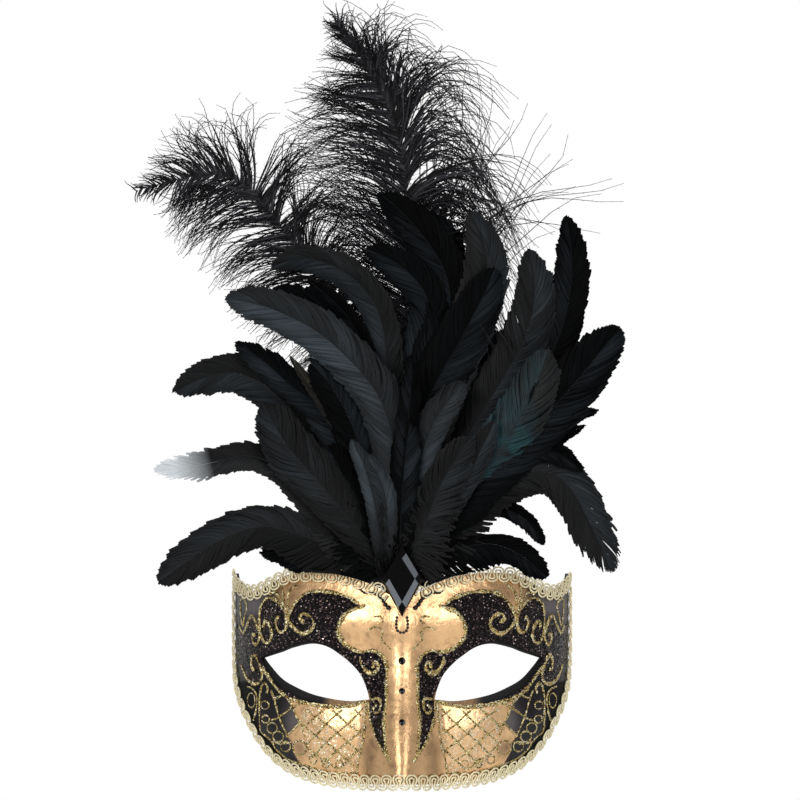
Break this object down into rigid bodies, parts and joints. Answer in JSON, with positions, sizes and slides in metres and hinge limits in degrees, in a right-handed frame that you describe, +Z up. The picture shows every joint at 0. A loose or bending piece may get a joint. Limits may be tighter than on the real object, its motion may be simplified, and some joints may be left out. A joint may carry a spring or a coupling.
{
  "type": "venetian masquerade mask",
  "caption": "Moulded half mask in gold and black with glitter scrollwork, gold scroll braid, a black lozenge jewel and a tall crest of black feathers.",
  "frame": {"origin": "inside face of the nose bridge, on the centre line at eye height, where the mask meets the wearer", "axes": "+Z up along the face, +Y towards the wearer, -Y the side seen by others, +X to the right in a view from the front"},
  "size_m": [0.2454, 0.0932, 0.3871],
  "materials": {
    "gold_shell": "gold foil with black glitter panels",
    "gold_braid": "metallic gimp",
    "black_acrylic": "polished facets",
    "black_bead": "glossy",
    "binding_thread": "waxed thread",
    "black_felt": "felt",
    "black_feather": "satin barbs",
    "brown_feather": "satin barbs",
    "iridescent_feather": "green and teal sheen",
    "pale_tipped_feather": "satin barbs, pale at the tip",
    "ostrich_feather": "soft loose barbs"
  },
  "bodies": {
    "root": {"mask_shell": "gold_shell", "braid_top_left": "gold_braid", "braid_top_right": "gold_braid", "braid_lower": "gold_braid", "jewel": "black_acrylic", "nose_stone_upper": "black_acrylic", "nose_stone_middle": "black_acrylic", "nose_stone_lower": "black_acrylic", "bead_loop": "black_bead", "bead_swag_left": "black_bead", "bead_swag_right": "black_bead", "quill_binding": "binding_thread", "felt_patch": "black_felt", "feather_lance_right": "black_feather", "feather_bright_left": "black_feather", "feather_bright_centre": "black_feather", "feather_soft_centre": "black_feather", "feather_slim_centre": "black_feather", "feather_short_right": "black_feather", "feather_sweep_left": "black_feather", "feather_green_grey": "black_feather", "feather_broad_left": "black_feather", "feather_inner_left": "black_feather", "feather_dark_left": "black_feather", "feather_brown_left": "brown_feather", "feather_mid_left": "black_feather", "feather_iridescent": "iridescent_feather", "feather_big_right": "black_feather", "feather_arched_right": "black_feather", "feather_droop_right": "black_feather", "feather_low_right": "black_feather", "feather_low_left_long": "black_feather", "feather_pale_tip_left": "pale_tipped_feather", "feather_upper_left": "black_feather", "feather_high_centre": "black_feather", "feather_high_left_slim": "black_feather", "feather_high_left_arch": "black_feather", "feather_crown_right": "black_feather", "feather_crown_centre": "black_feather", "feather_crown_left": "black_feather", "feather_blunt_right": "black_feather", "feather_upright_right": "black_feather", "feather_thin_right_upper": "black_feather", "feather_thin_right_lower": "black_feather", "feather_sparse_right": "black_feather", "feather_low_left_fluffy": "black_feather", "feather_crown_back": "black_feather", "feather_filler_right": "black_feather", "feather_filler_left": "black_feather", "ostrich_top": "ostrich_feather", "ostrich_left": "ostrich_feather", "ostrich_right": "ostrich_feather"}
  },
  "joints": []
}
